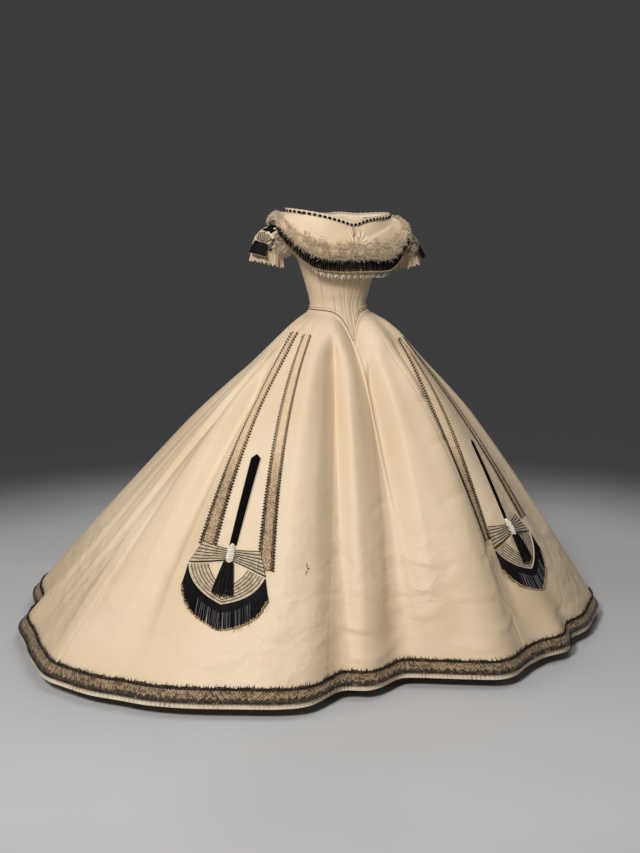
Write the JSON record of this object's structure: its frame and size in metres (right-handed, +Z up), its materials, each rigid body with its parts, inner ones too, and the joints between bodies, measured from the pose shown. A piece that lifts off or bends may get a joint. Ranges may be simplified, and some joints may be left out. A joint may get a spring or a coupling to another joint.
{
  "type": "ball gown",
  "caption": "Off-the-shoulder silk ball gown with a pointed basque, fringed bertha, short sleeves and a vast lace-hemmed skirt, in its hollow worn form.",
  "frame": {"origin": "centre of the wearer's waist, where the gown is held", "axes": "+Z up, -Y the wearer's front, +X the wearer's left"},
  "size_m": [1.9138, 1.856, 1.2826],
  "materials": {
    "ivory_silk": "soft ribbed silk with a low sheen",
    "cream_lace": "fine net and blonde lace, matt",
    "black_silk": "twisted silk fringe, low sheen",
    "black_velvet": "short dense pile, matt",
    "black_lace": "black net over ivory, matt",
    "cream_braid": "flat cream braid with dark lines",
    "white_knob": "worked cotton, matt"
  },
  "bodies": {
    "root": {"basque_piping": "ivory_silk", "bertha_back_left": "ivory_silk", "bertha_back_right": "ivory_silk", "bertha_front_left": "ivory_silk", "bertha_front_right": "ivory_silk", "bertha_strap": "ivory_silk", "bodice_back_left": "ivory_silk", "bodice_back_right": "ivory_silk", "bodice_front": "ivory_silk", "bodice_side_left": "ivory_silk", "bodice_side_right": "ivory_silk", "hem_pleating_back": "ivory_silk", "hem_pleating_front": "ivory_silk", "skirt_back_left": "ivory_silk", "skirt_back_right": "ivory_silk", "skirt_front": "ivory_silk", "skirt_side_back_left": "ivory_silk", "skirt_side_back_right": "ivory_silk", "skirt_side_front_left": "ivory_silk", "skirt_side_front_right": "ivory_silk", "sleeve_left": "ivory_silk", "sleeve_right": "ivory_silk", "bertha_frill_back": "cream_lace", "bertha_frill_front": "cream_lace", "bertha_ruche": "cream_lace", "neck_band": "cream_lace", "sleeve_frill_left": "cream_lace", "sleeve_frill_right": "cream_lace", "bertha_fringe_back": "black_silk", "bertha_fringe_front": "black_silk", "ornament_fringe_left": "black_silk", "ornament_fringe_right": "black_silk", "ornament_tassel_left": "black_silk", "ornament_tassel_right": "black_silk", "sleeve_fringe_left": "black_silk", "sleeve_fringe_right": "black_silk", "ornament_stem_left": "black_velvet", "ornament_stem_right": "black_velvet", "sleeve_band_left": "black_velvet", "sleeve_band_right": "black_velvet", "sleeve_velvet_left": "black_velvet", "sleeve_velvet_right": "black_velvet", "hem_lace_back": "black_lace", "hem_lace_front": "black_lace", "lace_band_left_inner": "black_lace", "lace_band_left_outer": "black_lace", "lace_band_right_inner": "black_lace", "lace_band_right_outer": "black_lace", "ornament_arc_left": "cream_braid", "ornament_arc_right": "cream_braid", "ornament_bow_left": "cream_braid", "ornament_bow_right": "cream_braid", "sleeve_braid_left": "cream_braid", "sleeve_braid_right": "cream_braid", "sleeve_stripes_left": "cream_braid", "sleeve_stripes_right": "cream_braid", "ornament_knob_left": "white_knob", "ornament_knob_right": "white_knob"}
  },
  "joints": []
}
